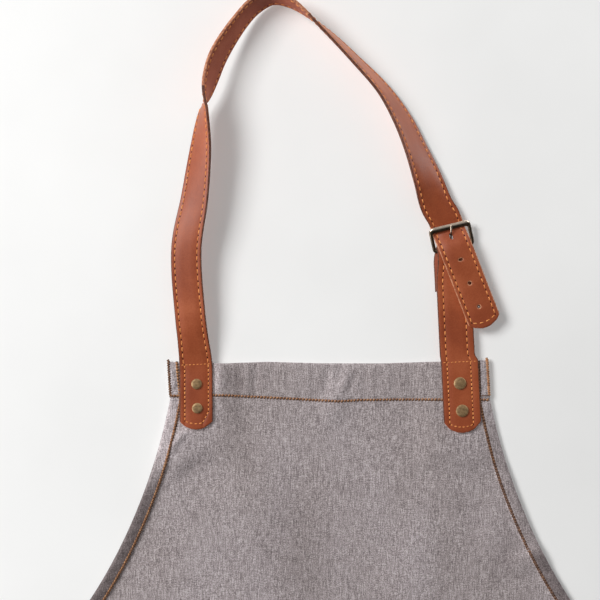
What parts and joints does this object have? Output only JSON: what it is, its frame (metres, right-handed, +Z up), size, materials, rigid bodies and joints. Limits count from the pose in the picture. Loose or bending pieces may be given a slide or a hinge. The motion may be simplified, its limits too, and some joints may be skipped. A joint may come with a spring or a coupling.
{
  "type": "bib apron with a buckled leather neck strap",
  "caption": "Grey woven bib apron lying flat, with a riveted tan leather neck strap, a wire buckle on the right and plain waist ties.",
  "frame": {"origin": "on the surface the apron lies on, under the middle of its overall box", "axes": "+Z up out of the apron's face, +Y from the hem towards the neck loop, +X to the right as seen from above"},
  "size_m": [0.7204, 1.1336, 0.0327],
  "materials": {
    "cloth": "matt slubby plain weave",
    "leather": "smooth satin, stitched edges",
    "bronze": "antique bronze, satin",
    "rivet": "antique brass, satin"
  },
  "bodies": {
    "root": {"apron_panel": "cloth", "neck_strap": "leather", "buckle_strap": "leather", "buckle_frame": "bronze", "buckle_prong": "bronze", "rivet_left_upper": "rivet", "rivet_left_lower": "rivet", "rivet_right_upper": "rivet", "rivet_right_lower": "rivet", "waist_tie_left": "cloth", "waist_tie_right": "cloth"}
  },
  "joints": []
}
